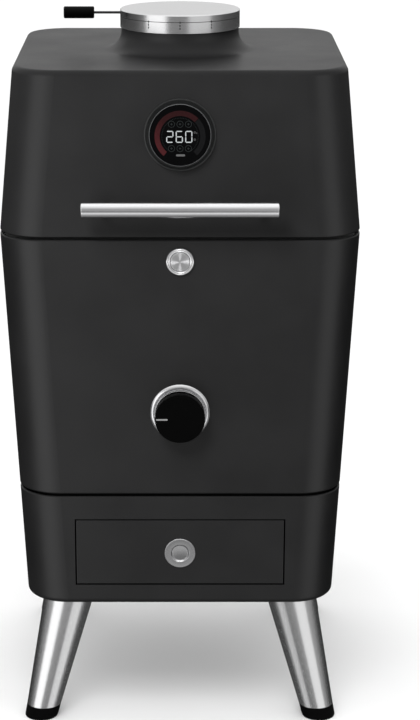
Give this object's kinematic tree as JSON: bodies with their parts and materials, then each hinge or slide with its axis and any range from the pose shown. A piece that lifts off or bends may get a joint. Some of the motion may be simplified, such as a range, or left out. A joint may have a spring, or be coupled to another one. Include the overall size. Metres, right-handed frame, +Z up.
{
  "type": "cabinet smoker",
  "caption": "Tapered cabinet smoker with a hinged lid, rotating top vent, electric lighting element, air dial and ash drawer on splayed legs.",
  "frame": {"origin": "on the floor under the middle of the oven's bounding box", "axes": "+Z up, -Y the front with the display and drawer, +X the user's right facing the front from outside"},
  "size_m": [0.5398, 0.6306, 1.0889],
  "materials": {
    "casing_black": "satin powder coat",
    "brushed_steel": "brushed stainless steel",
    "bright_trim": "polished rim",
    "knob_black": "fine satin moulded plastic",
    "bezel_black": "satin moulded plastic",
    "foot_rubber": "moulded rubber",
    "grip_rubber": "soft-touch rubber",
    "pointer_grey": "printed light grey inlay",
    "display_glass": "smoked cover glass",
    "enamel": "speckled vitreous enamel",
    "inner_steel": "mill finish stainless steel",
    "zinc_steel": "zinc-plated sheet steel",
    "insulation": "ceramic fibre blanket",
    "gasket": "woven glass-fibre rope",
    "element": "heat-darkened sheathed element",
    "module_plastic": "heat-proof moulded plastic",
    "circuit_board": "circuit board with components",
    "inlet_plastic": "moulded plastic"
  },
  "bodies": {
    "cabinet": {"base_shell": "casing_black", "seam_spacer": "zinc_steel", "body_shell": "casing_black", "firebox_liner": "enamel", "body_insulation": "insulation", "body_gasket": "gasket", "ash_chute": "inner_steel", "charcoal_basket": "inner_steel", "heating_element": "element", "element_flange": "zinc_steel", "drip_pan": "enamel", "grill_supports": "inner_steel", "cooking_grill": "inner_steel", "warming_grill": "inner_steel", "intake_duct": "zinc_steel", "dial_plate": "zinc_steel", "dial_bezel": "brushed_steel", "button_bezel": "brushed_steel", "button_switch": "module_plastic", "drawer_rails": "zinc_steel", "hinge_brackets": "casing_black", "hinge_pins": "inner_steel", "rear_cover": "casing_black", "control_board": "circuit_board", "power_inlet": "inlet_plastic", "cabinet_fasteners": "inner_steel", "leg_front_left": "brushed_steel", "foot_front_left": "foot_rubber", "leg_front_right": "brushed_steel", "foot_front_right": "foot_rubber", "leg_back_left": "brushed_steel", "foot_back_left": "foot_rubber", "leg_back_right": "brushed_steel", "foot_back_right": "foot_rubber"},
    "lid": {"lid_shell": "casing_black", "lid_liner": "enamel", "lid_insulation": "insulation", "handle_bar": "brushed_steel", "handle_posts": "brushed_steel", "display_bezel": "bezel_black", "display_rim": "bright_trim", "display_lens": "display_glass", "display_module": "module_plastic", "temperature_probe": "inner_steel", "vent_sleeve": "inner_steel", "vent_bridge": "inner_steel", "hinge_leaves": "casing_black", "lid_fasteners": "inner_steel"},
    "vent": {"vent_cap": "brushed_steel", "vent_lever": "bright_trim", "vent_grip": "grip_rubber"},
    "dial": {"dial_cap": "knob_black", "dial_pointer": "pointer_grey", "dial_shaft": "zinc_steel", "intake_shutter": "zinc_steel"},
    "button": {"button_cap": "brushed_steel"},
    "drawer": {"drawer_front": "casing_black", "drawer_pull": "brushed_steel", "drawer_tray": "zinc_steel", "ash_pan": "enamel"}
  },
  "joints": [
    {"name": "lid_hinge", "type": "hinge", "parent": "cabinet", "child": "lid", "pos_m": [0, 0.2805, 0.779], "axis": [-1, 0, 0], "range_deg": [0, 85]},
    {"name": "vent_turn", "type": "hinge", "parent": "lid", "child": "vent", "pos_m": [0, 0, 1.075], "axis": [0, 0, 1], "range_deg": [-31, 31]},
    {"name": "dial_turn", "type": "hinge", "parent": "cabinet", "child": "dial", "pos_m": [0, -0.2484, 0.507], "axis": [0, 0.9986, 0.0524], "range_deg": [0, 180]},
    {"name": "button_press", "type": "slide", "parent": "cabinet", "child": "button", "axis": [0, 0.9986, 0.0524], "range_m": [0, 0.0025], "stiffness_N_per_m": 600, "springref_m": -0.001},
    {"name": "drawer_slide", "type": "slide", "parent": "cabinet", "child": "drawer", "axis": [0, -1, 0], "range_m": [0, 0.25]}
  ]
}
